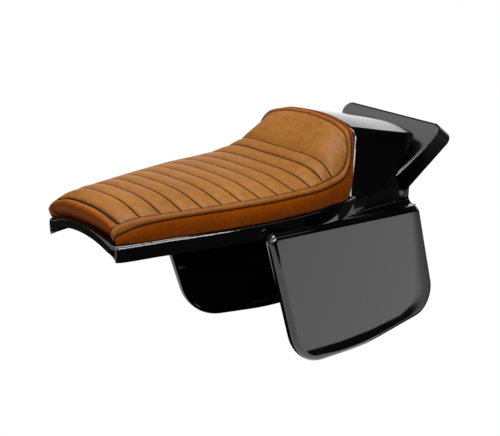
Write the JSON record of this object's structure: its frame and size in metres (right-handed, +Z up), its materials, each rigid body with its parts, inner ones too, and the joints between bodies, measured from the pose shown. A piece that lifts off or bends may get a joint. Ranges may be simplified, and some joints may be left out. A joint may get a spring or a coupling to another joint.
{
  "type": "flat track motorcycle seat",
  "caption": "Gloss moulded tail unit with a humped back, ducktail and side number plates, carrying a ribbed, stitched leather seat pad that is screwed on from below.",
  "frame": {"origin": "centre of the four frame studs, on the flat faces of their bosses under the pan", "axes": "+X towards the front of the seat, +Y to the rider's left, +Z up"},
  "size_m": [0.6687, 0.3238, 0.3779],
  "materials": {
    "gloss_shell": "black gel coat, polished",
    "tan_leather": "tan leather with a soft sheen, sewn with dark thread",
    "foam": "dense seat foam",
    "board": "plain plywood",
    "zinc_steel": "zinc plated"
  },
  "bodies": {
    "root": {"tail_shell": "gloss_shell", "pad_cover": "tan_leather", "pad_foam": "foam", "pad_board": "board", "frame_studs": "zinc_steel", "pad_screws": "zinc_steel", "pad_washers": "zinc_steel", "pad_nuts": "zinc_steel"}
  },
  "joints": []
}
